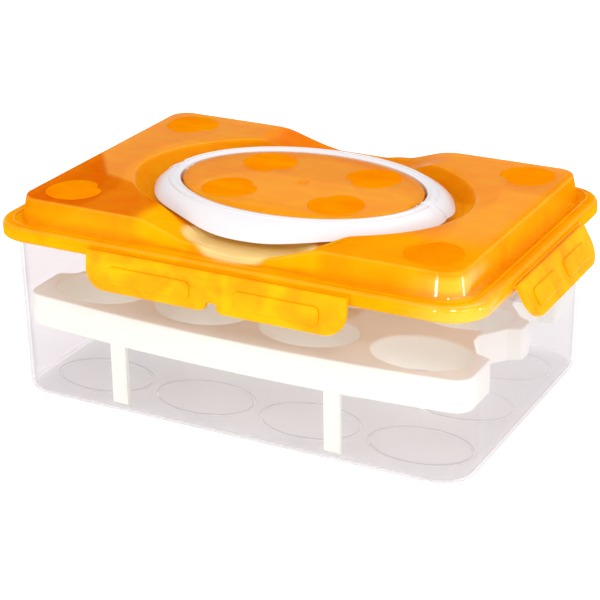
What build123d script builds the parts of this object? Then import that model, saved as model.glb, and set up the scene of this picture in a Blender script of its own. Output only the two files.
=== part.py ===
"""Two-layer egg keeper: a clear tub, a white lift-out egg tray on legs, and a
clip-on lid with four hinged latches and two folding half-ring carry handles.

Millimetres. The origin is the middle of the flat underside of the tub, +Z is up,
+X runs along the long side and -Y is the front."""

import os
from math import cos, radians, sin, sqrt, tan

from build123d import *

# Tub
tub_length = 234.6
tub_width = 154.6
tub_height = 85.7
tub_corner = 17.0
tub_wall = 1.8
tub_floor = 2.0
tub_draft = 0.8
tub_foot_round = 4.5
tub_inner_round = 2.0
tub_lip_reach = 2.9
tub_lip_height = 2.4

# Egg places, four along the tub and three across, the same on both layers
egg_pitch_x = 55.8
egg_pitch_y = 47.9
egg_columns = 4
egg_rows = 3
floor_ring_radius_x = 25.4
floor_ring_radius_y = 17.2
floor_ring_width = 1.0
floor_ring_height = 0.8

# Egg tray
tray_top = 48.6
tray_side_gap = 1.0
tray_side_bow = 6.9
tray_end_gap = 1.5
tray_wall = 1.6
tray_skirt = 15.5
tray_corner = 8.0
tray_edge_round = 0.8
cup_radius_x = 23.8
cup_radius_y = 17.0
cup_taper = 2.8
cup_lip_round = 1.2
tooth_half_width = 4.7
tooth_reach = 0.6
tooth_shoulder_in = 5.5
tooth_shoulder_y = 8.0
notch_depth = 14.2
notch_floor_near_y = 20.0
notch_floor_far_y = 26.0
lobe_shoulder_in = 7.7
lobe_shoulder_y = 38.0
lobe_y = 40.5
notch_round = 2.5
leg_width = 8.0
leg_thickness = 2.0
leg_rib_depth = 7.0
leg_set_back = 2.7
leg_shift = 5.0
leg_foot_chamfer = 1.0

# Lid
lid_wall = 1.8
lid_seat_gap = 0.3
lip_clearance = 0.5
rim_corner = 18.5
rim_skirt = 6.8
rim_round = 2.4
plateau_margin_x = 11.5
plateau_margin_y = 10.0
plateau_height = 11.5
plateau_draft = 2.0
plateau_corner = 9.5
plateau_edge_round = 1.2
locating_rib_depth = 3.0
locating_rib_width = 1.4
locating_rib_gap = 0.5

# Saddle across the middle of the lid
saddle_half_top = 49.6
saddle_depth = 6.7
saddle_angle = 19.3
saddle_shoulder_radius = 42.0

# Oval dish round the handles, and the oval platform inside it
dish_radius_x = 84.8
dish_radius_y = 62.0
dish_floor_radius_x = 77.5
dish_floor_radius_y = 58.6
dish_depth = 7.8
platform_radius_x = 60.2
platform_radius_y = 41.7
platform_round = 0.8
finger_scoop_radius_x = 33.0
finger_scoop_radius_y = 19.0
finger_scoop_floor_radius_x = 26.0
finger_scoop_floor_radius_y = 12.0
finger_scoop_depth = 4.6
finger_scoop_x = 3.0
finger_scoop_y = 57.0

# Half-ring handles
handle_gap = 1.3
handle_width = 12.7
handle_crest_in = 2.6
handle_crest_rise = 0.6
handle_shoulder = 0.8
handle_drop = 6.3
handle_bulge = 1.2
handle_inner_drop = 4.3
handle_wall = 2.0
seam_gap = 0.4
pivot_drop = 2.4
pin_radius = 1.1
pin_clearance = 0.1
pin_bite = 3.2
pin_boss_depth = 5.0
boss_overlap = 1.0
bore_overrun = 1.0
grip_reach = 5.5
grip_drop = 1.6
grip_flat_half = 4.0
grip_half = 40.0

# Latches: hinged flaps that hook over catches on the tub
latch_length = 17.1
latch_thickness = 1.9
latch_hinge_rise = 3.4
latch_stand_off = 1.2
hinge_ledge_gap = 0.3
hinge_ledge_height = 2.4
latch_corner = 10.3
front_latch_width = 131.0
end_latch_width = 81.6
latch_notch_width = 5.2
latch_notch_depth = 4.1
latch_notch_round = 3.4
front_pad_width = 42.0
front_pad_x = 32.0
end_pad_width = 27.0
end_pad_x = 18.2
pad_height = 8.4
pad_drop = 9.2
pad_rise = 1.0
pad_round = 0.6
pad_corner = 2.4
pocket_wall = 1.2
catch_bite = 1.2
catch_play = 0.6
latch_ajar = 8.0
end_latch_ajar = 29.0

# Places that follow from the sizes above
lip_length = tub_length + 2 * tub_lip_reach
lip_width = tub_width + 2 * tub_lip_reach
rim_length = lip_length + 2 * (lip_clearance + lid_wall)
rim_width = lip_width + 2 * (lip_clearance + lid_wall)
rim_top = tub_height + lid_seat_gap + lid_wall
rim_bottom = rim_top - rim_skirt
plateau_length = rim_length - 2 * plateau_margin_x
plateau_width = rim_width - 2 * plateau_margin_y
plateau_top = rim_top + plateau_height
saddle_floor = plateau_top - saddle_depth
dish_floor = plateau_top - dish_depth
handle_radius_x = platform_radius_x + handle_gap
handle_radius_y = platform_radius_y + handle_gap
handle_crest = plateau_top + handle_crest_rise
pivot_z = handle_crest - pivot_drop
pivot_y = pivot_drop + seam_gap / 2
hinge_out = latch_stand_off + latch_thickness / 2
hinge_z = rim_bottom + latch_hinge_rise
up = Vector(0, 0, 1)
near = 0.01


def tub_spread(height):
    """How far a tub wall stands outside its top outline at a height: the walls lean in towards the floor."""
    return tub_draft * (height - tub_height) / tub_height


def tub_outline(height, inset):
    """The tub's rounded outline at a height, moved in by an inset."""
    grow = 2 * (tub_spread(height) - inset)
    RectangleRounded(tub_length + grow, tub_width + grow, tub_corner - inset)


def facing(out, place):
    """An upright plane through a place whose X points out of the tub and whose Y is up."""
    return Plane(origin=place, x_dir=out, z_dir=out.cross(up))


# Base tub: drafted walls, an outward lip, egg rings on the floor and catches for the latches
with BuildPart() as tub_cavity:
    for level in (tub_floor, tub_height):
        with BuildSketch(Plane.XY.offset(level)):
            tub_outline(level, tub_wall)
    loft(ruled=True)
    fillet(tub_cavity.faces().sort_by(Axis.Z)[0].edges(), radius=tub_inner_round)

with BuildPart() as base_tub:
    for level in (0, tub_height):
        with BuildSketch(Plane.XY.offset(level)):
            tub_outline(level, 0)
    loft(ruled=True)
    fillet(base_tub.faces().sort_by(Axis.Z)[0].edges(), radius=tub_foot_round)
    with BuildSketch(Plane.XY.offset(tub_height - tub_lip_height)):
        RectangleRounded(lip_length, lip_width, rim_corner - lid_wall - lip_clearance)
    extrude(amount=tub_lip_height)
    add(tub_cavity.part, mode=Mode.SUBTRACT)
    with BuildSketch(Plane.XY.offset(tub_floor)):
        with GridLocations(egg_pitch_x, egg_pitch_y, egg_columns, egg_rows):
            Ellipse(floor_ring_radius_x, floor_ring_radius_y)
            Ellipse(
                floor_ring_radius_x - floor_ring_width,
                floor_ring_radius_y - floor_ring_width,
                mode=Mode.SUBTRACT,
            )
    extrude(amount=floor_ring_height)


def catch(out, along, wall_face, rim_face, width):
    """One wedge on the tub wall that the pocket of a latch pad hooks under."""
    tip = rim_face + latch_stand_off + catch_bite
    foot = hinge_z - pad_drop - pad_height / 2 + pocket_wall + catch_play
    head = hinge_z - pad_drop + pad_height / 2 - pocket_wall - catch_play
    with BuildSketch(facing(out, along)) as wedge:
        with BuildLine():
            Polyline(
                (wall_face - tub_wall / 2, foot),
                (tip, foot),
                (tip, foot + catch_bite),
                (wall_face, head),
                (wall_face - tub_wall / 2, head),
                close=True,
            )
        make_face()
    extrude(wedge.sketch, amount=width / 2, both=True)


with base_tub:
    for side in (-1, 1):
        for place in (-front_pad_x, front_pad_x):
            catch(
                Vector(0, side, 0),
                Vector(place, 0, 0),
                tub_width / 2,
                rim_width / 2,
                front_pad_width - 2 * (pocket_wall + catch_play),
            )
        for place in (-end_pad_x, end_pad_x):
            catch(
                Vector(side, 0, 0),
                Vector(0, place, 0),
                tub_length / 2,
                rim_length / 2,
                end_pad_width - 2 * (pocket_wall + catch_play),
            )
base_tub.part.label = "base_tub"

# Egg tray: a skirted plate with twelve oval cups, bowed sides, notched ends and four legs
tray_half_x = tub_length / 2 + tub_spread(tray_top) - tub_wall - tray_end_gap
tray_half_y = tub_width / 2 + tub_spread(tray_top) - tub_wall - tray_side_gap
tray_foot = tray_top - tray_skirt
notch_x = tray_half_x - notch_depth


def tray_outline(inset):
    """The tray's plan: bowed long sides, notches between the end cups and a tooth at each end."""
    side_end = (tray_half_x, tray_half_y - tray_side_bow)
    with BuildLine() as bay:
        Polyline(
            (0, tray_half_y),
            (0, 0),
            (tray_half_x + tooth_reach, 0),
            (tray_half_x + tooth_reach, tooth_half_width),
            (tray_half_x - tooth_shoulder_in, tooth_shoulder_y),
            (notch_x, notch_floor_near_y),
            (notch_x, notch_floor_far_y),
            (tray_half_x - lobe_shoulder_in, lobe_shoulder_y),
            (tray_half_x, lobe_y),
            side_end,
        )
        TangentArc((0, tray_half_y), side_end, tangent=(1, 0))
    quarter = make_face(bay.edges())
    bends = [v for v in quarter.vertices() if v.X > notch_x - near and v.Y > near]
    corner = max(bends, key=lambda v: v.X + v.Y)
    fillet([v for v in bends if v is not corner], radius=notch_round)
    fillet([v for v in vertices() if v.distance_to(corner) < near], radius=tray_corner)
    mirror(about=Plane.XZ)
    mirror(about=Plane.YZ)
    if inset:
        offset(amount=-inset, mode=Mode.REPLACE)


with BuildPart() as egg_tray:
    with BuildSketch(Plane.XY.offset(tray_foot)):
        tray_outline(0)
    extrude(amount=tray_skirt)
    fillet(egg_tray.faces().sort_by(Axis.Z)[-1].edges(), radius=tray_edge_round)
    with BuildSketch(Plane.XY.offset(tray_foot)):
        tray_outline(tray_wall)
    extrude(amount=tray_skirt - tray_wall, mode=Mode.SUBTRACT)
    for grow, cup_mode in ((tray_wall, Mode.ADD), (0, Mode.SUBTRACT)):
        for level, taper in ((tray_foot, cup_taper), (tray_top, 0)):
            with BuildSketch(Plane.XY.offset(level)):
                Ellipse(cup_radius_x - taper + grow, cup_radius_y - taper + grow)
        cup = loft(ruled=True, mode=Mode.PRIVATE)
        with GridLocations(egg_pitch_x, egg_pitch_y, egg_columns, egg_rows):
            add(cup, mode=cup_mode)
    fillet(
        [edge for edge in egg_tray.edges().group_by(Axis.Z)[-1] if edge.is_closed],
        radius=cup_lip_round,
    )
    leg_face_y = tray_half_y - leg_set_back
    for side in (-1, 1):
        for place in (side * leg_shift - egg_pitch_x, side * leg_shift + egg_pitch_x):
            with BuildSketch(Plane.XY.offset(tub_floor)):
                with Locations((place, side * (leg_face_y - leg_thickness / 2))):
                    Rectangle(leg_width, leg_thickness)
                with Locations((place, side * (leg_face_y - leg_rib_depth / 2))):
                    Rectangle(leg_thickness, leg_rib_depth)
            extrude(amount=tray_top - tray_wall - tub_floor)
    toes = [
        edge
        for edge in egg_tray.edges().filter_by(Axis.X).group_by(Axis.Z)[0]
        if abs(abs(edge.center().Y) - leg_face_y) < near
    ]
    chamfer(toes, length=leg_foot_chamfer)
egg_tray.part.label = "egg_tray"


def lid_form(wall):
    """The lid as a solid block, or with a wall the space under it: the shell is one less the other."""
    with BuildPart() as form:
        with BuildSketch(Plane.XY.offset(rim_bottom - wall)):
            RectangleRounded(rim_length - 2 * wall, rim_width - 2 * wall, rim_corner - wall)
        extrude(amount=rim_top - rim_bottom)
        fillet(form.faces().sort_by(Axis.Z)[-1].edges(), radius=rim_round - wall)
        for level, spread in ((rim_top, plateau_draft), (plateau_top, 0)):
            with BuildSketch(Plane.XY.offset(level - wall)):
                RectangleRounded(
                    plateau_length + 2 * (spread - wall),
                    plateau_width + 2 * (spread - wall),
                    plateau_corner + spread - wall,
                )
        loft(ruled=True)
        fillet(form.faces().sort_by(Axis.Z)[-1].edges(), radius=plateau_edge_round)
        saddle_cut(wall)
        oval_cut(
            (0, 0),
            (dish_radius_x, dish_radius_y),
            (dish_floor_radius_x, dish_floor_radius_y),
            (dish_floor, plateau_top),
            wall,
        )
        for side in (-1, 1):
            oval_cut(
                (-side * finger_scoop_x, side * finger_scoop_y),
                (finger_scoop_radius_x, finger_scoop_radius_y),
                (finger_scoop_floor_radius_x, finger_scoop_floor_radius_y),
                (saddle_floor - finger_scoop_depth, saddle_floor),
                wall,
            )
        with BuildSketch(Plane.XY.offset(saddle_floor - finger_scoop_depth - wall)):
            Ellipse(platform_radius_x - wall, platform_radius_y - wall)
        extrude(amount=saddle_depth + finger_scoop_depth)
        fillet(
            form.edges().filter_by(GeomType.ELLIPSE).group_by(Axis.Z)[-1].sort_by(SortBy.LENGTH)[0],
            radius=platform_round,
        )
    return form.part


def saddle_cut(wall):
    """Cuts the saddle: a flat floor, two ramps, and a wide round shoulder at the top of each ramp."""
    turn = radians(saddle_angle)
    shoulder_run = saddle_shoulder_radius * sin(turn)
    shoulder_fall = saddle_shoulder_radius * (1 - cos(turn))
    ramp_run = (saddle_depth - shoulder_fall) / tan(turn)
    top = plateau_top - wall
    crease = (saddle_half_top, top)
    ramp_head = (saddle_half_top - shoulder_run, top - shoulder_fall)
    ramp_foot = (saddle_half_top - shoulder_run - ramp_run, top - saddle_depth)
    with BuildSketch(Plane.XZ) as saddle:
        with BuildLine():
            TangentArc(crease, ramp_head, tangent=(-1, 0))
            Line(ramp_head, ramp_foot)
            Line(ramp_foot, (0, ramp_foot[1]))
            Line((0, ramp_foot[1]), (0, top + saddle_depth))
            Line((0, top + saddle_depth), (saddle_half_top, top + saddle_depth))
            Line((saddle_half_top, top + saddle_depth), crease)
        make_face()
        mirror(about=Plane.YZ)
    extrude(saddle.sketch, amount=rim_width, both=True, mode=Mode.SUBTRACT)


def oval_cut(middle, mouth, bottom, levels, wall):
    """Cuts an oval recess with sloping sides, from its floor radii to its mouth radii and on above."""
    floor_level, mouth_level = levels
    runs = [(wide - narrow) / (mouth_level - floor_level) for wide, narrow in zip(mouth, bottom)]
    ovals = []
    for level in (floor_level - wall, mouth_level + saddle_depth):
        radii = [
            wide + run * (level - mouth_level) + wall * sqrt(1 + run * run)
            for wide, run in zip(mouth, runs)
        ]
        with BuildSketch(Plane.XY.offset(level)) as oval:
            with Locations(middle):
                Ellipse(*radii)
        ovals.append(oval.sketch)
    loft(ovals, ruled=True, mode=Mode.SUBTRACT)


# Lid: one shell with skirt, plateau, saddle, dish, platform and finger scoops
with BuildPart() as lid:
    add(lid_form(0))
    add(lid_form(lid_wall), mode=Mode.SUBTRACT)
    rib_length = tub_length - 2 * (tub_wall + locating_rib_gap)
    rib_width = tub_width - 2 * (tub_wall + locating_rib_gap)
    rib_corner = tub_corner - tub_wall - locating_rib_gap
    with BuildSketch(Plane.XY.offset(rim_top - lid_wall - locating_rib_depth)):
        RectangleRounded(rib_length, rib_width, rib_corner)
        RectangleRounded(
            rib_length - 2 * locating_rib_width,
            rib_width - 2 * locating_rib_width,
            rib_corner - locating_rib_width,
            mode=Mode.SUBTRACT,
        )
    extrude(amount=locating_rib_depth)
    ledge_reach = 2 * (latch_stand_off - hinge_ledge_gap)
    with BuildSketch(Plane.XY.offset(hinge_z - hinge_ledge_height / 2)):
        Rectangle(front_latch_width, rim_width + ledge_reach)
        Rectangle(rim_length + ledge_reach, end_latch_width)
        Rectangle(rim_length - lid_wall, rim_width - lid_wall, mode=Mode.SUBTRACT)
    extrude(amount=hinge_ledge_height)
    boss_x = platform_radius_x - lid_wall - pin_boss_depth / 2
    with BuildSketch(Plane.XY.offset(pivot_z - pin_radius - lid_wall)):
        with Locations((-boss_x, 0), (boss_x, 0)):
            Rectangle(pin_boss_depth + boss_overlap, 2 * (pivot_y + pin_radius + lid_wall))
    extrude(until=Until.NEXT)
    for side in (-1, 1):
        bore_start = handle_radius_x - handle_gap - pin_bite - bore_overrun
        with BuildSketch(Plane.YZ.offset(side * bore_start)):
            with Locations((-pivot_y, pivot_z), (pivot_y, pivot_z)):
                Circle(pin_radius + pin_clearance)
        extrude(amount=side * (pin_bite + 2 * bore_overrun), mode=Mode.SUBTRACT)
lid.part.label = "lid"


def grip_share(angle):
    """0 along the plain ring and 1 across the thumb grip, with a smooth step between."""
    beyond = (abs(handle_radius_x * cos(angle)) - grip_flat_half) / (grip_half - grip_flat_half)
    step = min(max(1 - beyond, 0), 1)
    return step * step * (3 - 2 * step)


def handle_section(degrees, hollow):
    """The handle's upright cross-section at an angle round the oval: the outside, or the hollow under it."""
    angle = radians(degrees)
    normal = Vector(cos(angle) / handle_radius_x, sin(angle) / handle_radius_y, 0).normalized()
    place = Vector(handle_radius_x * cos(angle), handle_radius_y * sin(angle), 0)
    reach = handle_width + grip_reach * grip_share(angle)
    foot = handle_crest - handle_drop - grip_drop * grip_share(angle)
    inner_top = handle_crest - handle_shoulder
    with BuildSketch(facing(normal, place)) as section:
        with BuildLine():
            if hollow:
                roof = handle_crest - handle_wall
                SagittaArc((handle_crest_in, roof), (reach - handle_wall, foot), handle_bulge)
                Polyline(
                    (reach - handle_wall, foot),
                    (reach - handle_wall, foot - handle_wall),
                    (handle_wall, foot - handle_wall),
                    (handle_wall, roof - handle_shoulder),
                    (handle_crest_in, roof),
                )
            else:
                SagittaArc((handle_crest_in, handle_crest), (reach, foot), handle_bulge)
                Polyline(
                    (reach, foot),
                    (0, handle_crest - handle_inner_drop),
                    (0, inner_top),
                    (handle_crest_in, handle_crest),
                )
        make_face()
    return section.sketch


# Front handle: half of an oval ring, hollow underneath, with a thumb grip and two pivot pins
section_angles = [180, 196, 210, 222, 232, 241, 250, 260, 270, 280, 290, 299, 308, 318, 330, 344, 360]
end_cap_angle = 8
with BuildPart() as handle_front:
    loft([handle_section(degrees, hollow=False) for degrees in section_angles])
    inner_angles = [180 + end_cap_angle, *section_angles[1:-1], 360 - end_cap_angle]
    loft([handle_section(degrees, hollow=True) for degrees in inner_angles], mode=Mode.SUBTRACT)
    split(bisect_by=Plane.XZ.offset(seam_gap / 2))
    with BuildSketch(Plane.YZ):
        with Locations((-pivot_y, pivot_z)):
            Rectangle(2 * pivot_drop, 2 * pivot_drop, align=(Align.MIN, Align.MIN))
            Circle(pivot_drop, mode=Mode.SUBTRACT)
    extrude(amount=rim_length / 2, both=True, mode=Mode.SUBTRACT)
    for side in (-1, 1):
        with BuildSketch(Plane.YZ.offset(side * (handle_radius_x - handle_gap - pin_bite))):
            with Locations((-pivot_y, pivot_z)):
                Circle(pin_radius)
        extrude(amount=side * (pin_bite + handle_gap + handle_wall))
handle_front.part.label = "handle_front"

# Back handle: the same moulding turned end for end
with BuildPart() as handle_back:
    add(handle_front.part, rotation=(0, 0, 180))
handle_back.part.label = "handle_back"


def latch(out, reach, width, pads, pad_width, notched, ajar):
    """A latch flap hanging from its hinge bead, swung out by an angle, with catch pockets in its pads."""
    swing = radians(ajar)
    hinge = out * (reach + hinge_out) + up * hinge_z
    outward = out * cos(swing) + up * sin(swing)
    upward = up * cos(swing) - out * sin(swing)
    along = upward.cross(outward)
    flap = Plane(origin=hinge, x_dir=along, z_dir=outward)
    pad_places = [(place, -pad_drop) for place in pads]
    with BuildPart() as piece:
        with BuildSketch(flap.offset(-latch_thickness / 2)) as plan:
            Rectangle(width, latch_length, align=(Align.CENTER, Align.MAX))
            fillet(plan.vertices().group_by(Axis.Y)[0], radius=latch_corner)
            if notched:
                with Locations((0, -latch_length)):
                    Rectangle(latch_notch_width, 2 * latch_notch_depth, mode=Mode.SUBTRACT)
                inner = [v for v in plan.vertices() if abs(v.X) < latch_notch_width]
                low = [v for v in inner if v.Y < -latch_length + latch_notch_depth / 2]
                fillet(low, radius=latch_notch_round)
        extrude(amount=latch_thickness)
        with BuildSketch(Plane(origin=hinge, x_dir=outward, z_dir=along)):
            Circle(latch_thickness / 2)
        extrude(amount=width / 2, both=True)
        with BuildSketch(flap.offset(latch_thickness / 2)):
            with Locations(*pad_places):
                RectangleRounded(pad_width, pad_height, pad_corner)
        extrude(amount=pad_rise)
        crown_level = latch_thickness / 2 + pad_rise
        crowns = [
            face
            for face in piece.faces()
            if abs(flap.to_local_coords(face.center()).Z - crown_level) < near
        ]
        fillet([edge for face in crowns for edge in face.edges()], radius=pad_round)
        with BuildSketch(flap.offset(-latch_thickness / 2)):
            with Locations(*pad_places):
                RectangleRounded(
                    pad_width - 2 * pocket_wall,
                    pad_height - 2 * pocket_wall,
                    pad_corner - pocket_wall,
                )
        extrude(amount=latch_thickness + pad_rise - pocket_wall, mode=Mode.SUBTRACT)
    return piece.part


front_pads = (-front_pad_x, front_pad_x)
end_pads = (-end_pad_x, end_pad_x)
latches = {
    "latch_front": latch(
        Vector(0, -1, 0), rim_width / 2, front_latch_width, front_pads, front_pad_width, True, latch_ajar
    ),
    "latch_back": latch(
        Vector(0, 1, 0), rim_width / 2, front_latch_width, front_pads, front_pad_width, True, latch_ajar
    ),
    "latch_left": latch(
        Vector(-1, 0, 0), rim_length / 2, end_latch_width, end_pads, end_pad_width, False, latch_ajar
    ),
    "latch_right": latch(
        Vector(1, 0, 0), rim_length / 2, end_latch_width, end_pads, end_pad_width, False, end_latch_ajar
    ),
}

os.makedirs("parts", exist_ok=True)
for piece in (base_tub, egg_tray, lid, handle_front, handle_back):
    export_step(piece.part, f"parts/{piece.part.label}.step")
for name, flap in latches.items():
    flap.label = name
    export_step(flap, f"parts/{name}.step")
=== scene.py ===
from math import cos, radians, sin, tan

import bpy
import numpy as np
from mathutils import Matrix, Vector


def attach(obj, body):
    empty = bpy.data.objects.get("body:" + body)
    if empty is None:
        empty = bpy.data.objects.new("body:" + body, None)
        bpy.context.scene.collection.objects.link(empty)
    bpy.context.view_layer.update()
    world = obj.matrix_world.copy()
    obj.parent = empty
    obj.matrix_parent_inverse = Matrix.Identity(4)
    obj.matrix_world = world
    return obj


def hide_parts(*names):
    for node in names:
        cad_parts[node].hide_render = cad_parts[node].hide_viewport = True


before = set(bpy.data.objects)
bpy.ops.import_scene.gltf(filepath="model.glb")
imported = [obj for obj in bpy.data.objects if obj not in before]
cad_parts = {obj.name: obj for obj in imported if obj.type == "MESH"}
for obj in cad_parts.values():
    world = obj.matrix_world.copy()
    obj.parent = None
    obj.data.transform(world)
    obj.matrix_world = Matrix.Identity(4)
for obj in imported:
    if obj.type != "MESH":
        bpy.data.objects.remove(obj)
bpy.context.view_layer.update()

# Tub
# The lower box of the keeper: clear polypropylene, injection moulded in one polished piece with its rim, the
# egg rings on its floor and the catches that the latches hook on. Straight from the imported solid.


def linear(hex_colour):
    """sRGB hex to linear: c/12.92 up to 0.04045, and ((c + 0.055)/1.055)^2.4 above it."""
    value = [int(hex_colour[i : i + 2], 16) / 255 for i in (1, 3, 5)]
    return (*(c / 12.92 if c <= 0.04045 else ((c + 0.055) / 1.055) ** 2.4 for c in value), 1.0)


def add_node(tree, kind, links=(), sockets=(), **settings):
    """Adds a node: settings are its properties, sockets its input values, links its inputs' sources."""
    made = tree.nodes.new(kind)
    for name, value in settings.items():
        setattr(made, name, value)
    for name, value in dict(sockets).items():
        made.inputs[name].default_value = value
    for name, source in dict(links).items():
        tree.links.new(source, made.inputs[name])
    return made


def set_stops(ramp, stops):
    """Sets a colour ramp's stops, each a position from 0 to 1 and a colour: its own two first, then new ones."""
    marks = ramp.color_ramp.elements
    for count, (position, colour) in enumerate(stops):
        mark = marks[count] if count < 2 else marks.new(position)
        mark.position, mark.color = position, colour


def new_finish(name):
    """An empty material of that name, and its node tree."""
    made = bpy.data.materials.new(name)
    made.use_nodes = True
    made.node_tree.nodes.clear()
    return made, made.node_tree


def dress(objects, finish):
    """Gives the objects the finish."""
    for piece in objects:
        piece.data.materials.clear()
        piece.data.materials.append(finish)


# Clear polypropylene, moulded against polished steel: a polished gloss that grows at a slant, walls with a faint
# haze and a milkier floor, on which the thin, clear egg rings stand out as pale ovals.
clear_polypropylene, tree = new_finish("clear moulded polypropylene")
# Share of haze from each height up, in metres: underside, floor, egg rings, walls.
haze_steps = ((0.0, 0.05), (0.0012, 0.40), (0.00215, 0.0), (0.00315, 0.085))
haze_range = 0.004
# What a wall lets through, from straight on (0) to edge on (1): a longer way through the plastic looks greyer.
wall_shades = ((0.0, "#f8f7f8"), (1.0, "#a6a4ab"), (0.5, "#f7f5f7"), (0.85, "#e8e6ea"))
haze_through = 0.7
gloss_straight_on, gloss_at_a_slant = 0.04, 0.9
place = add_node(tree, "ShaderNodeTexCoord")
height = add_node(tree, "ShaderNodeSeparateXYZ", links={"Vector": place.outputs["Object"]})
layer = add_node(
    tree,
    "ShaderNodeMapRange",
    links={"Value": height.outputs["Z"]},
    sockets={"From Min": 0.0, "From Max": haze_range},
)
cloud = add_node(tree, "ShaderNodeValToRGB", links={"Fac": layer.outputs[0]})
cloud.color_ramp.interpolation = "CONSTANT"
set_stops(cloud, [(level / haze_range, (share, share, share, 1)) for level, share in haze_steps])
front_haze = add_node(tree, "ShaderNodeBsdfDiffuse", sockets={"Color": linear("#ffffff")})
back_haze = add_node(tree, "ShaderNodeBsdfTranslucent", sockets={"Color": linear("#ffffff")})
haze = add_node(
    tree,
    "ShaderNodeMixShader",
    sockets={0: haze_through},
    links={1: front_haze.outputs[0], 2: back_haze.outputs[0]},
)
slant = add_node(tree, "ShaderNodeLayerWeight", sockets={"Blend": 0.5})
tint = add_node(tree, "ShaderNodeValToRGB", links={"Fac": slant.outputs["Facing"]})
set_stops(tint, [(lean, linear(shade)) for lean, shade in wall_shades])
see_through = add_node(tree, "ShaderNodeBsdfTransparent", links={"Color": tint.outputs["Color"]})
wall = add_node(
    tree,
    "ShaderNodeMixShader",
    links={0: cloud.outputs[0], 1: see_through.outputs[0], 2: haze.outputs[0]},
)
steep = add_node(
    tree,
    "ShaderNodeMath",
    operation="POWER",
    links={0: slant.outputs["Facing"]},
    sockets={1: 5.0},
)
mirrored = add_node(
    tree,
    "ShaderNodeMath",
    operation="MULTIPLY_ADD",
    links={0: steep.outputs[0]},
    sockets={1: gloss_at_a_slant, 2: gloss_straight_on},
)
polish = add_node(tree, "ShaderNodeBsdfGlossy", sockets={"Roughness": 0.05})
polished = add_node(
    tree,
    "ShaderNodeMixShader",
    links={0: mirrored.outputs[0], 1: wall.outputs[0], 2: polish.outputs[0]},
)
add_node(tree, "ShaderNodeOutputMaterial", links={"Surface": polished.outputs[0]})
dress([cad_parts["base_tub"]], clear_polypropylene)

# Egg tray
# The lift-out upper tray: white polypropylene in one moulding, a skirted plate with twelve open cups and four
# legs that stand on the tub's floor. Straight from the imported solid.


def opaque_finish(name, sockets):
    """A material of one shader with those socket values."""
    made, tree = new_finish(name)
    skin = add_node(tree, "ShaderNodeBsdfPrincipled", sockets=sockets)
    add_node(tree, "ShaderNodeOutputMaterial", links={"Surface": skin.outputs[0]})
    return made


# White polypropylene, moulded with a fine satin skin: a soft, wide shine without clear reflections.
white_satin = opaque_finish(
    "white satin polypropylene", {"Base Color": linear("#fafbee"), "Roughness": 0.42, "IOR": 1.49}
)
dress([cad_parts["egg_tray"]], white_satin)

# Lid
# The amber lid: translucent polypropylene in one moulding. Its rim drops over the tub's lip, the plateau has a
# saddle across it, and an oval dish holds the handles round a raised oval platform. Low hearts are moulded in.

# Heights are above the table. Sizes of boxes and ovals are half lengths and half widths.
lid_wall = 0.0018
plateau_top, rim_top, rim_bottom = 0.0993, 0.0878, 0.0810
plateau_size, plateau_corner = (0.1110, 0.0725), 0.0095
plateau_draft, plateau_round = 0.0020, 0.0013
rim_size, rim_corner, rim_bend = (0.1225, 0.0825), 0.0185, 0.0024
saddle_floor, saddle_half, saddle_shoulder = 0.0926, 0.0496, 0.0420
saddle_slope = radians(19.3)
dish_floor, dish_floor_size, dish_mouth_size = 0.0915, (0.0775, 0.0586), (0.0848, 0.0620)
platform_size, platform_round, platform_draft = np.array([0.0602, 0.0417]), 0.0009, 0.0004
scoop_floor, scoop_size, scoop_middle = 0.0880, (0.0330, 0.0190), (0.0030, 0.0570)
scoop_flat = 0.7
saddle_crease, dish_crease = 0.0006, 0.0012
columns = 440


def oval_reach(x, y, size, middle=(0.0, 0.0)):
    """How far out points lie in an oval, 1 on its edge: sqrt(((x - mx)/a)^2 + ((y - my)/b)^2)."""
    return np.sqrt(((x - middle[0]) / size[0]) ** 2 + ((y - middle[1]) / size[1]) ** 2)


def ray_to_oval(direction, size):
    """Distance from the origin to an oval along each direction: 1 over how far out the unit step lies in it."""
    return 1 / oval_reach(*direction, size)


def ray_to_box(direction, size, corner, grow=0.0):
    """Distance from the origin to a round-cornered rectangle, grown all round, along each direction: its straight
    side, or the root of the corner circle's equation where the straight side would be past the corner's start."""
    dx, dy = np.abs(direction)
    half_x, half_y, corner = size[0] + grow, size[1] + grow, corner + grow
    side = np.minimum(half_x / np.maximum(dx, 1e-9), half_y / np.maximum(dy, 1e-9))
    cx, cy = half_x - corner, half_y - corner
    b = dx * cx + dy * cy
    arc = b + np.sqrt(np.maximum(b * b - (cx * cx + cy * cy - corner * corner), 0))
    return np.where((side * dx > cx) & (side * dy > cy), arc, side)


def smooth_low(a, b, width):
    """The lower of two heights, with the crease rounded over a width: (a + b - sqrt((a - b)^2 + w^2))/2."""
    return (a + b - np.sqrt((a - b) ** 2 + width**2)) / 2


def smooth_high(a, b, width):
    """The higher of two heights, with the crease rounded over a width: (a + b + sqrt((a - b)^2 + w^2))/2."""
    return (a + b + np.sqrt((a - b) ** 2 + width**2)) / 2


def scoop_reach(x, y):
    """How far out points lie in the finger scoop at their own end of the saddle, 1 on its edge."""
    end = np.where(y < 0, -1.0, 1.0)
    return oval_reach(x, y, scoop_size, (-end * scoop_middle[0], end * scoop_middle[1]))


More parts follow.
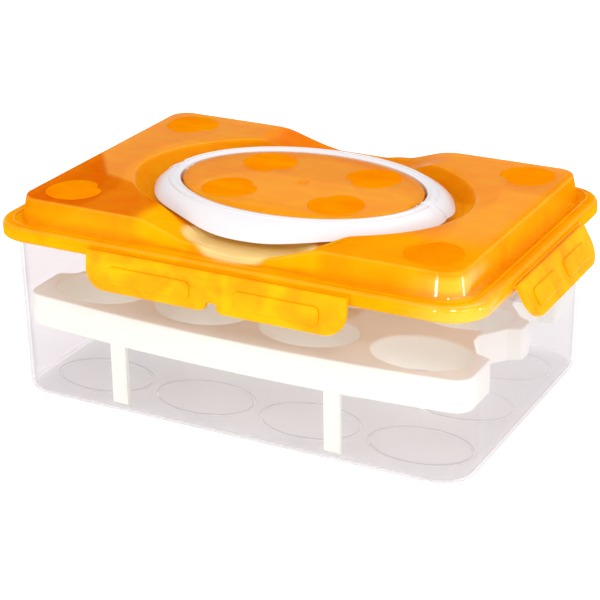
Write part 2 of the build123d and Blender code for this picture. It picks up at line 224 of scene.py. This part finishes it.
def saddle_height(x):
    """Across the saddle: plateau, a wide round shoulder down to the slope, a straight ramp, and the flat floor."""
    fall = np.maximum(saddle_half - np.abs(x), 0)
    run = saddle_shoulder * sin(saddle_slope)
    shoulder = saddle_shoulder - np.sqrt(np.maximum(saddle_shoulder**2 - np.minimum(fall, run) ** 2, 0))
    ramp = plateau_top - shoulder - np.maximum(fall - run, 0) * tan(saddle_slope)
    return smooth_high(ramp, saddle_floor, saddle_crease)


def scoop_height(x, y):
    """The finger scoop: a flat floor, then rising evenly with the reach to the saddle's floor at its edge."""
    rise = np.maximum((scoop_reach(x, y) - scoop_flat) / (1 - scoop_flat), 0)
    return scoop_floor + (saddle_floor - scoop_floor) * rise


def add_mesh(name, points, faces, body, replaced=(), smooth=True):
    """A smooth or flat shaded mesh object that rides a body and stands for the named nodes."""
    mesh = bpy.data.meshes.new(name)
    mesh.from_pydata(points.reshape(-1, 3).tolist(), [], faces)
    mesh.validate()
    mesh.polygons.foreach_set("use_smooth", np.full(len(mesh.polygons), smooth))
    piece = bpy.data.objects.new(name, mesh)
    bpy.context.collection.objects.link(piece)
    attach(piece, body)
    if replaced:
        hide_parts(*replaced)
    return piece


def strip_faces(rows, across, closed_rows=False):
    """Quads between neighbouring rows of points, each row closed on itself. They face away from the axis when the
    rows run up and their points anticlockwise, seen from above."""
    count = np.arange(rows if closed_rows else rows - 1)[:, None]
    row, after = count * across, (count + 1) % rows * across
    near = np.arange(across)[None, :]
    far = (near + 1) % across
    return np.stack([row + near, row + far, after + far, after + near], -1).reshape(-1, 4).tolist()


def cap_faces(ring, pole, turned=False):
    """Triangles from each edge of a closed ring of points to a pole, or the same triangles turned over."""
    now, after = ring, np.roll(ring, -1)
    if turned:
        now, after = after, now
    return np.stack([now, after, np.full(len(ring), pole)], -1).tolist()


# The rays leave the middle at the angles of an even walk round the rim, so that its corners get enough of them.
walk = np.linspace(0, 2 * np.pi, columns, endpoint=False)
walk = walk - 0.33 * np.sin(2 * walk) + 0.1 * np.sin(4 * walk)
rays = np.stack([np.cos(walk), np.sin(walk)])


def lid_rows(inner):
    """Rows of (radius, height) from the middle out: platform, its wall, dish, plateau, side, flange and skirt.
    The inner skin is the same form one wall lower and one wall in."""
    t = lid_wall if inner else 0.0
    rows = []

    def land(radius, dish):
        """Height at a radius: the lowest of saddle, dish and finger scoop, less the skin's depth."""
        x, y = rays * radius
        top = smooth_low(saddle_height(x), dish, dish_crease)
        return smooth_low(top, scoop_height(x, y), dish_crease) - t

    def top_edge(shrink):
        """Radius of the plateau's edge, drawn in by a shrink. The drafted side lies further out where the saddle
        makes its top lower, and that place is worked out in three rounds."""
        radius = ray_to_box(rays, plateau_size, plateau_corner)
        for _ in range(3):
            fall = plateau_top - saddle_height(rays[0] * radius)
            spread = plateau_draft * fall / (plateau_top - rim_top) - shrink
            radius = ray_to_box(rays, plateau_size, plateau_corner, spread)
        return radius

    # The platform: its flat top, its rounded edge and its short wall.
    edge = ray_to_oval(rays, platform_size - t)
    foot = ray_to_oval(rays, platform_size - t + platform_draft)
    wall_end = land(foot, dish_floor) + 0.0004
    round_edge = platform_round - t / 4
    for share in np.linspace(0.02, 1, 14):
        rows.append(((edge - round_edge) * share, plateau_top - t))
    for turn in np.linspace(0, np.pi / 2, 5)[1:]:
        fall = round_edge * (1 - cos(turn))
        rows.append((edge - round_edge * (1 - sin(turn)), plateau_top - t - fall))
    for share in (0.3, 0.6, 0.9):
        level = (plateau_top - t - round_edge) * (1 - share) + wall_end * share
        rows.append((edge + platform_draft / 2 * share, level))

    # The dish: its floor, then its side, which runs on past the mouth so that the crease has rows of its own.
    floor_edge = ray_to_oval(rays, dish_floor_size) + t * 0.4
    mouth = ray_to_oval(rays, dish_mouth_size) + t * 0.4
    past_mouth = 1.3
    for share in np.linspace(0, 1, 12):
        radius = foot + (floor_edge - foot) * share
        rows.append((radius, land(radius, dish_floor)))
    for share in np.linspace(0, past_mouth, 22)[1:]:
        radius = floor_edge + (mouth - floor_edge) * share
        rows.append((radius, land(radius, dish_floor + (plateau_top - dish_floor) * share)))

    # The plateau, with the dish's side carried on above it, then its rounded edge and its drafted side.
    start = floor_edge + (mouth - floor_edge) * past_mouth
    slope = (plateau_top - dish_floor) / (mouth - floor_edge)
    rim = top_edge(plateau_round + t)
    for share in np.linspace(0, 1, 34)[1:]:
        radius = start + (rim - start) * share
        rows.append((radius, land(radius, plateau_top + slope * (radius - mouth))))
    edge_height = rows[-1][1]
    for turn in np.linspace(0, np.pi / 2, 6)[1:]:
        fall = plateau_round * (1 - cos(turn))
        rows.append((top_edge(plateau_round * (1 - sin(turn)) + t), edge_height - fall))
    side_top, side_height = rows[-1]
    side_foot = ray_to_box(rays, plateau_size, plateau_corner, plateau_draft - t)
    for share in (0.3, 0.6, 0.88, 0.97):
        level = side_height + (rim_top - t - side_height) * share
        rows.append((side_top + (side_foot - side_top) * share, level))

    # The rim: its flat top, its bend and its skirt, whose lower edge joins the two skins.
    for out, rise in ((0.0004, 0.00005), (0.0012, 0.0)):
        radius = ray_to_box(rays, plateau_size, plateau_corner, plateau_draft - t + out)
        rows.append((radius, rim_top - t + rise))
    bend = rim_bend - t
    for turn in np.linspace(0, np.pi / 2, 8):
        radius = ray_to_box(rays, rim_size, rim_corner, -(bend * (1 - sin(turn)) + t))
        rows.append((radius, rim_top - t - bend * (1 - cos(turn))))
    skirt = ray_to_box(rays, rim_size, rim_corner, -t)
    bevel = 0.0004
    for level in (0.0838, rim_bottom + bevel):
        rows.append((skirt, level))
    rows.append((skirt + bevel if inner else skirt - bevel, rim_bottom))
    return rows


outer_rows, inner_rows = lid_rows(False), lid_rows(True)
shell = outer_rows + inner_rows[::-1]
shell_radius = np.array([row[0] for row in shell])
shell_height = np.array([np.broadcast_to(row[1], columns) for row in shell])
points = np.stack([rays[0] * shell_radius, rays[1] * shell_radius, shell_height], -1).reshape(-1, 3)
first_pole = len(points)
points = np.vstack([points, [[0, 0, plateau_top], [0, 0, plateau_top - lid_wall]]])
top_ring, low_ring = np.arange(columns), np.arange(first_pole - columns, first_pole)
faces = strip_faces(len(shell), columns)
faces += cap_faces(top_ring, first_pole, turned=True) + cap_faces(low_ring, first_pole + 1)
# The rows run outwards and down, so the faces are turned over to point out of the plastic.
lid = add_mesh("lid_shell", points, [face[::-1] for face in faces], "lid", ["lid"])


def step(low, high, value):
    """0 below low, 1 above high, and 3t^2 - 2t^3 of the way t between them."""
    t = np.clip((value - low) / (high - low), 0, 1)
    return t * t * (3 - 2 * t)


def paint(piece, tone, sheen):
    """Stores a colour and a strength of gloss for each vertex in the mesh's own attributes."""
    colours = piece.data.color_attributes.new("tone", "FLOAT_COLOR", "POINT")
    colours.data.foreach_set("color", np.ascontiguousarray(tone, dtype=np.float32).ravel())
    strengths = piece.data.attributes.new("sheen", "FLOAT", "POINT")
    strengths.data.foreach_set("value", np.ascontiguousarray(sheen, dtype=np.float32))


def blob(at_x, at_y, reach):
    """A soft round patch, 1 in its middle: e^-((dx^2 + dy^2)/reach^2)."""
    return np.exp(-(((x - at_x) / reach) ** 2) - ((y - at_y) / reach) ** 2)


def blend(under, colour, share):
    """Lays a colour over the tone with a share for each vertex: under (1 - share) + colour share."""
    return under * (1 - share[:, None]) + np.array(linear(colour)) * share[:, None]


def rows_of_shell(spans):
    """A strength for each vertex, given for spans of the shell's rows, and 0 elsewhere and at the poles."""
    strength = np.zeros((len(shell), columns))
    for first, end, value in spans:
        strength[first:end] = value
    return np.append(strength, (0, 0))


# Places on the lid where light and shade are painted into its tone and gloss, each 1 inside and 0 outside, with
# soft edges that start and end at the two numbers of a step.
x, y, z = points.T
aside = np.abs(x)
front = y < 0
low = 1 - step(0.0880, 0.0985, z)
dish = (1 - step(0.98, 1.01, oval_reach(x, y, dish_mouth_size))) * step(1.0, 1.03, oval_reach(x, y, platform_size))
ramp = step(0.016, 0.022, aside) * (1 - step(0.043, 0.050, aside)) * step(0.044, 0.052, np.abs(y))
back_left = ramp * (y > 0) * (x < 0)
back_saddle = step(0.050, 0.056, y) * (1 - step(0.028, 0.040, aside)) * (1 - back_left)
front_right = step(0.028, 0.046, -y) * (x > 0) * (1 - dish)
right_side = step(0.1105, 0.1120, x) * (1 - step(0.1142, 0.1150, x)) * (y > -0.066)
# Painted glint: a yellow patch and the strongest gloss down the plateau's front right corner.
corner = blob(0.110, -0.072, 0.014) * step(0.0, 0.3, low)
# Painted light: the floor of the front finger scoop is painted pale.
painted_scoop_light = (1 - step(0.96, 1.03, scoop_reach(x, y))) * (1 - step(0.0927, 0.0938, z)) * front
# The front left block, painted in shade, lies in front of a bent line that runs from the plateau's left edge to the
# dish.
past_line = -y + 1.33 * np.clip(-0.090 - x, 0, None) - 0.27 * np.clip(x + 0.090, 0, None)
front_left = step(0.026, 0.031, past_line) * (1 - step(-0.052, -0.043, x)) * (1 - dish) * step(0.0983, 0.0991, z)
# Edges of the platform, of the dish's mouth, of the plateau and of the rim, which get painted highlights, and the
# crease at the side's foot, which gets painted shade.
edge = rows_of_shell(((15, 17, 0.3), (48, 50, 0.35), (88, 91, 0.35), (100, 103, 0.4)))
side_foot = rows_of_shell(((94, 97, 0.55),))

# The lid's tone, with light and shade painted into it: orange on the flat tops; painted yellow light down the sides
# and rim, where light comes up from below, and on the front ramps and the front right block; painted shade deeper
# in the dish, on the front left block, at the back of the saddle, down the right side and in the crease at the
# side's foot; painted pale light in the finger scoop. Painted highlights run along the moulded edges, and a painted
# yellow glint runs down the front right corner.
tone = blend(np.array(linear("#f99904")), "#ffa800", low)
for colour, share in (
    ("#f59400", right_side),
    ("#ffa600", 0.8 * front_right * (1 - low)),
    ("#ffb400", ramp * front),
    ("#ee8c00", dish),
    ("#f07800", 0.9 * back_left),
    ("#ee8a14", 0.8 * back_saddle),
    ("#e16700", 0.97 * front_left),
    ("#ffe400", 0.7 * corner),
    ("#ffb82a", edge),
    ("#ee8800", side_foot),
    ("#ffe29c", painted_scoop_light),
):
    tone = blend(tone, colour, share)
# The inner skin is painted paler, as painted light that brightens it and the tray beneath, and covers less, so that
# what lies behind it shows. Alpha is the share that covers.
under = np.arange(len(points)) >= len(outer_rows) * columns
under[first_pole] = False
tone[under] = linear("#fff3c4")
tone[:, 3] = np.where(under, 0.8, 1.0)
# Painted sheen: the strength of gloss is painted by place, a faint one on the flat tops behind the front, a clearer
# one on the edges and the clearest at one corner, where it makes a glint.
painted_sheen_tops = step(-0.044, -0.020, y) * (1 - step(0.104, 0.110, x)) * (1 - low) * (1 - dish)
painted_sheen_tops = painted_sheen_tops * (1 - 0.6 * back_left) * (1 - front_left)
paint(lid, tone, 0.12 * painted_sheen_tops + 0.25 * edge + 1.2 * corner)


def amber_plastic(name, colour, roughness, cover, gleam=0.22, drift=0.005):
    """Amber polypropylene: part of the light scatters back, part glows through, and the rest passes straight on.
    With no colour given, the mesh's own tone and sheen are used."""
    # Flow streaks of 56 mm along the lid, 4.5 mm across it and 3.8 mm up, and patches of 18 mm: counts per metre.
    streaks, patches = (18.0, 220.0, 260.0), 55.0
    glowing = 0.14
    made, tree = new_finish(name)
    place = add_node(tree, "ShaderNodeTexCoord")
    drawn_out = add_node(
        tree,
        "ShaderNodeMapping",
        links={"Vector": place.outputs["Object"]},
        sockets={"Scale": streaks},
    )
    grain = add_node(
        tree,
        "ShaderNodeTexNoise",
        links={"Vector": drawn_out.outputs["Vector"]},
        sockets={"Scale": 1.0, "Detail": 3.0, "Roughness": 0.6},
    )
    brightness = add_node(
        tree,
        "ShaderNodeMapRange",
        links={"Value": grain.outputs["Fac"]},
        sockets={"From Min": 0.3, "From Max": 0.7, "To Min": 0.95, "To Max": 1.03},
    )
    patchy = add_node(
        tree,
        "ShaderNodeTexNoise",
        links={"Vector": place.outputs["Object"]},
        sockets={"Scale": patches, "Detail": 2.0, "Distortion": 0.8},
    )
    warmth = add_node(
        tree,
        "ShaderNodeMapRange",
        links={"Value": patchy.outputs["Fac"]},
        sockets={"From Min": 0.35, "From Max": 0.65, "To Min": 0.5 - drift, "To Max": 0.5 + drift},
    )
    if colour:
        plain, painted, thinned, sheen = {"Color": linear(colour)}, {}, {}, {}
    else:
        tone = add_node(tree, "ShaderNodeVertexColor", layer_name="tone")
        thinner = add_node(
            tree,
            "ShaderNodeMath",
            operation="MULTIPLY",
            links={0: tone.outputs["Alpha"]},
            sockets={1: cover},
        )
        gloss = add_node(tree, "ShaderNodeAttribute", attribute_name="sheen")
        plain, painted = {}, {"Color": tone.outputs["Color"]}
        thinned, sheen = {0: thinner.outputs[0]}, {"Specular IOR Level": gloss.outputs["Fac"]}
    flow = add_node(
        tree,
        "ShaderNodeHueSaturation",
        sockets=plain,
        links={**painted, "Value": brightness.outputs[0], "Hue": warmth.outputs[0]},
    )
    shine = add_node(
        tree,
        "ShaderNodeBsdfPrincipled",
        sockets={"Roughness": roughness, "IOR": 1.49, "Specular IOR Level": gleam},
        links={**sheen, "Base Color": flow.outputs[0]},
    )
    glow = add_node(tree, "ShaderNodeBsdfTranslucent", links={"Color": flow.outputs[0]})
    clear = add_node(tree, "ShaderNodeBsdfTransparent", sockets={"Color": linear("#ffe070")})
    scatter = add_node(
        tree,
        "ShaderNodeMixShader",
        sockets={0: glowing},
        links={1: shine.outputs[0], 2: glow.outputs[0]},
    )
    amber = add_node(
        tree,
        "ShaderNodeMixShader",
        sockets={0: cover},
        links={**thinned, 1: clear.outputs[0], 2: scatter.outputs[0]},
    )
    add_node(tree, "ShaderNodeOutputMaterial", links={"Surface": amber.outputs[0]})
    return made


# Amber polypropylene, moulded, carrying the lid's painted tone and sheen: glossiest on the edges and at one corner,
# where sheen is painted, with faint flow streaks along the lid.
amber_lid = amber_plastic("amber translucent polypropylene", None, roughness=0.09, cover=0.76)
dress([lid], amber_lid)

# Low hearts moulded in the lid, four on the platform and one on each corner block: each points to its own corner.
# The outline is a circle with a narrow notch on one side and a slight tip on the other.
heart_steps = 72
heart_lean = np.array([0.72, 0.69]) / np.hypot(0.72, 0.69)
heart_places = [
    (sign_x * at_x, sign_y * at_y)
    for at_x, at_y in ((0.0275, 0.0195), (0.0915, 0.0540))
    for sign_x in (-1, 1)
    for sign_y in (-1, 1)
]
heart_sunk, heart_rise = 0.0003, 0.0002
# Size and height over the plateau of the rings from below the lid's skin to the heart's top.
heart_rings = ((0.0131, -heart_sunk), (0.0131, 0.0), (0.0128, 0.00016), (0.0123, heart_rise))
turn = np.linspace(0, 2 * np.pi, heart_steps, endpoint=False)
notch = 0.2 * np.exp(-((np.sin(turn / 2) / 0.17) ** 2))
tip = 0.06 * np.exp(-((np.cos(turn / 2) / 0.3) ** 2))
heart = np.stack([np.cos(turn), np.sin(turn)]) * (1 - notch + tip)
ring_size, ring_height = np.array(heart_rings).T[:, :, None]
along, across = -heart[:, None, :] * ring_size
heart_strip = np.array(strip_faces(len(heart_rings), heart_steps))
heart_points, heart_faces = [], []
for at_x, at_y in heart_places:
    out_x, out_y = heart_lean * np.sign((at_x, at_y))
    start = sum(len(part) for part in heart_points)
    pole = start + len(heart_rings) * heart_steps
    ring_x = at_x + along * out_x - across * out_y
    ring_y = at_y + along * out_y + across * out_x
    rings = np.stack([ring_x, ring_y, np.broadcast_to(plateau_top + ring_height, ring_x.shape)], -1)
    poles = [[at_x, at_y, plateau_top - heart_sunk], [at_x, at_y, plateau_top + heart_rise]]
    heart_points.append(np.vstack([rings.reshape(-1, 3), poles]))
    heart_faces += (heart_strip + start).tolist()
    heart_faces += cap_faces(np.arange(start, start + heart_steps), pole, turned=True)
    heart_faces += cap_faces(np.arange(pole - heart_steps, pole), pole + 1)
hearts = add_mesh("lid_hearts", np.vstack(heart_points), heart_faces, "lid")

# Where the plastic was fed in, a low ring is left round the gate: a thin bead, half sunk, on a small circle.
gate_steps, gate_bead_steps = 36, 8
gate_radius, gate_bead, gate_y = 0.0022, 0.00025, 0.0010
hoop = np.linspace(0, 2 * np.pi, gate_steps, endpoint=False)[:, None]
bead_turn = np.linspace(0, 2 * np.pi, gate_bead_steps, endpoint=False)[None, :]
hoop_radius = gate_radius + gate_bead * np.cos(bead_turn)
hoop_height = np.broadcast_to(plateau_top + gate_bead * np.sin(bead_turn), (gate_steps, gate_bead_steps))
gate_points = np.stack([hoop_radius * np.cos(hoop), gate_y + hoop_radius * np.sin(hoop), hoop_height], -1)
gate_faces = np.array(strip_faces(gate_steps, gate_bead_steps, closed_rows=True))[:, ::-1].tolist()
gate = add_mesh("lid_gate_mark", gate_points, gate_faces, "lid")

# The hearts have a finely etched skin, so they look a shade deeper and duller than the gloss round them.
amber_etched = amber_plastic("amber etched hearts", "#ff9500", roughness=0.45, cover=0.94, gleam=0.0)
dress([hearts, gate], amber_etched)

# Under the rim the lid carries a locating rib that drops inside the tub, and outside it a ledge along each latch. A
# low step runs round the rim's flat top.


def wall_ring(name, size, corner, width, bottom, top):
    """An upright wall on the lid that follows a round-cornered rectangle: outer side, top, inner side, bottom."""
    outer = ray_to_box(rays, size, corner)
    inner = ray_to_box(rays, size, corner, -width)
    rows = [(outer, bottom), (outer, top), (inner, top), (inner, bottom)]
    ring = np.stack([np.stack([rays[0] * r, rays[1] * r, np.full(columns, h)], -1) for r, h in rows])
    return add_mesh(name, ring, strip_faces(len(rows), columns, closed_rows=True), "lid", smooth=False)


rib = wall_ring("lid_locating_rib", (0.1150, 0.0750), 0.0147, width=0.0014, bottom=0.0830, top=0.0864)
rim_step = wall_ring("lid_rim_step", (0.1176, 0.0791), 0.0152, width=0.0009, bottom=0.0872, top=0.0881)
front_ledge, end_ledge = (0.0655, 0.0009), (0.0009, 0.0408)
ledge_heights = (0.0832, 0.0856)
box_faces = np.array([(0, 1, 3, 2), (4, 6, 7, 5), (0, 4, 5, 1), (2, 3, 7, 6), (0, 2, 6, 4), (1, 5, 7, 3)])
ledge_points, ledge_faces = [], []
for (at_x, at_y), (half_x, half_y) in (
    ((0, -rim_size[1]), front_ledge),
    ((0, rim_size[1]), front_ledge),
    ((-rim_size[0], 0), end_ledge),
    ((rim_size[0], 0), end_ledge),
):
    sides = ((at_x - half_x, at_x + half_x), (at_y - half_y, at_y + half_y), ledge_heights)
    ledge_faces += (box_faces + 8 * len(ledge_points)).tolist()
    ledge_points.append(np.stack(np.meshgrid(*sides, indexing="ij"), -1).reshape(-1, 3))
ledges = add_mesh("lid_hinge_ledges", np.vstack(ledge_points), ledge_faces, "lid", smooth=False)

# The rib, ledges and step are thin strips of the same amber plastic, more yellow because they are thin.
amber_strip = amber_plastic("thin amber strip", "#ffbc00", roughness=0.25, cover=0.8)
dress([rib, ledges, rim_step], amber_strip)

# Latches
# Four flaps moulded with the lid at a thin hinge along its rim: amber polypropylene, with raised pads whose
# pockets hook over the tub's catches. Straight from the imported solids.

# The same amber plastic as the lid, thinner, so that it looks more yellow and shows what is behind it.
amber_thin = amber_plastic(
    "thin amber polypropylene", "#ffb900", roughness=0.09, cover=0.76, gleam=0.1, drift=0.014
)
dress([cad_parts["latch_" + side] for side in ("front", "back", "left", "right")], amber_thin)

# Handles
# Two white halves of an oval ring that fold up to meet over the lid: polypropylene, hollow underneath, each
# turning on two pins in the platform's wall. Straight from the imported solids, with fine beads laid on them.

# Glossy white polypropylene from a polished mould: a clear, narrow shine along the ring's crest.
white_gloss = opaque_finish(
    "white gloss polypropylene", {"Base Color": linear("#e3dfe2"), "Roughness": 0.2, "IOR": 1.49}
)
dress([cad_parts["handle_" + side] for side in ("front", "back")], white_gloss)

# A fine moulded ridge follows each handle just outside its crest, from pin to pin, and a lip closes the front one's
# two ends. Both lie on the handle's own top, found by looking straight down at it.
handle_size, ridge_out, ridge_size, ridge_margin = (0.0615, 0.0430), 0.0050, 0.00045, 0.07
lip_span, lip_y, lip_size = (0.0638, 0.0735), -0.0012, 0.0004
tube_steps = 8
# Share of its size by which a bead's middle stands above the surface.
bead_lift = 0.1


def top_of(piece, x, y):
    """Height of the piece's top under a point, by a ray cast straight down from above the whole box."""
    into = piece.matrix_world.inverted()
    found, place, *_ = piece.ray_cast(into @ Vector((x, y, 0.2)), into.to_3x3() @ Vector((0, 0, -1)))
    return (piece.matrix_world @ place).z if found else float("nan")


def bead(name, line, size, piece, body):
    """A round bead nearly half sunk along a line on a piece: upright rings of points across the line, left side
    first and then over the top, closed at both ends."""
    level = np.array([top_of(piece, x, y) for x, y in line])
    line, level = line[~np.isnan(level)], level[~np.isnan(level)]
    path = np.column_stack([line, level + bead_lift * size])
    ahead = np.gradient(path, axis=0)
    across = np.stack([-ahead[:, 1], ahead[:, 0], np.zeros(len(path))], -1)
    across /= np.linalg.norm(across, axis=1)[:, None]
    tube = np.linspace(0, 2 * np.pi, tube_steps, endpoint=False)
    rings = path[:, None, :] + size * np.cos(tube)[None, :, None] * across[:, None, :]
    rings[..., 2] += size * np.sin(tube)[None, :]
    pole = len(path) * tube_steps
    faces = strip_faces(len(path), tube_steps)
    faces += cap_faces(np.arange(tube_steps), pole, turned=True)
    faces += cap_faces(np.arange(pole - tube_steps, pole), pole + 1)
    made = add_mesh(name, np.vstack([rings.reshape(-1, 3), path[:1], path[-1:]]), faces, body)
    dress([made], white_gloss)


for side, start in (("front", np.pi), ("back", 0.0)):
    turn = np.linspace(start + ridge_margin, start + np.pi - ridge_margin, 120)
    outward = np.stack([np.cos(turn) / handle_size[0], np.sin(turn) / handle_size[1]], -1)
    outward /= np.linalg.norm(outward, axis=1)[:, None]
    line = np.stack([handle_size[0] * np.cos(turn), handle_size[1] * np.sin(turn)], -1) + outward * ridge_out
    bead("handle_ridge_" + side, line, ridge_size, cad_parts["handle_" + side], "handle_" + side)
for side, sign in (("left", -1), ("right", 1)):
    line = np.stack([sign * np.linspace(*lip_span, 30), np.full(30, lip_y)], -1)
    bead("handle_lip_" + side, line, lip_size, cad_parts["handle_front"], "handle_front")

# Studio
# A light table: a sheet of white acrylic lit faintly from beneath, with large soft lights over it.
bpy.ops.mesh.primitive_plane_add(size=6)
floor = bpy.context.object
floor.name = "floor"
# White acrylic sheet, lit from below, so that no shadow stays dark under the clear tub.
lit_acrylic = opaque_finish(
    "lit white acrylic",
    {
        "Base Color": linear("#ffffff"),
        "Roughness": 0.9,
        "Emission Color": linear("#ffffff"),
        "Emission Strength": 0.45,
    },
)
floor.data.materials.append(lit_acrylic)


def hang_lamp(name, place, size, power, aim):
    """A soft lamp of that width and height, turned to a height on the object's axis."""
    lamp = bpy.data.objects.new(name, bpy.data.lights.new(name, "AREA"))
    lamp.data.shape = "RECTANGLE"
    lamp.data.size, lamp.data.size_y = size
    lamp.data.energy = power
    lamp.location = place
    lamp.rotation_euler = (Vector((0, 0, aim)) - lamp.location).to_track_quat("-Z", "Y").to_euler()
    bpy.context.collection.objects.link(lamp)


hang_lamp("key", (-0.55, -0.75, 0.95), (0.7, 0.7), power=3.5, aim=0.05)
hang_lamp("fill", (0.95, -0.45, 0.55), (0.6, 0.6), power=2.5, aim=0.05)
hang_lamp("top", (0.1, 0.55, 1.1), (0.8, 0.8), power=3.2, aim=0.05)
hang_lamp("sparkle", (0.42, -0.62, 0.62), (0.12, 0.12), power=2.2, aim=0.05)
# Two narrow upright strips stand low beside the camera: they draw the fine bright lines down the corners.
hang_lamp("left strip", (-0.15, -1.1, 0.12), (0.05, 0.34), power=2.6, aim=0.08)
hang_lamp("right strip", (1.05, 0.12, 0.12), (0.05, 0.34), power=2.6, aim=0.08)
world = bpy.data.worlds.new("studio")
world.use_nodes = True
world.node_tree.nodes["Background"].inputs["Color"].default_value = (1, 1, 1, 1)
world.node_tree.nodes["Background"].inputs["Strength"].default_value = 0.6
bpy.context.scene.world = world
bpy.context.scene.view_settings.view_transform = "Standard"

# Camera
# At the photograph's angle, as fitted to the egg rings and the box's edges.
azimuth, elevation, roll = radians(27.88), radians(22.61), radians(-0.81)
distance, aim_height = 0.9026, 0.0517
back = Vector((sin(azimuth) * cos(elevation), -cos(azimuth) * cos(elevation), sin(elevation)))
right = Vector((cos(azimuth), sin(azimuth), 0))
up = right.cross(-back)
rolled_right, rolled_up = right * cos(roll) + up * sin(roll), up * cos(roll) - right * sin(roll)
camera = bpy.data.objects.new("camera", bpy.data.cameras.new("camera"))
camera.data.lens = 112.97
camera.data.sensor_width = 36
camera.data.shift_x = -0.0059
camera.data.shift_y = -0.0392
placed = Matrix((rolled_right, rolled_up, back)).transposed().to_4x4()
placed.translation = back * distance + Vector((0, 0, aim_height))
camera.matrix_world = placed
bpy.context.collection.objects.link(camera)
bpy.context.scene.camera = camera
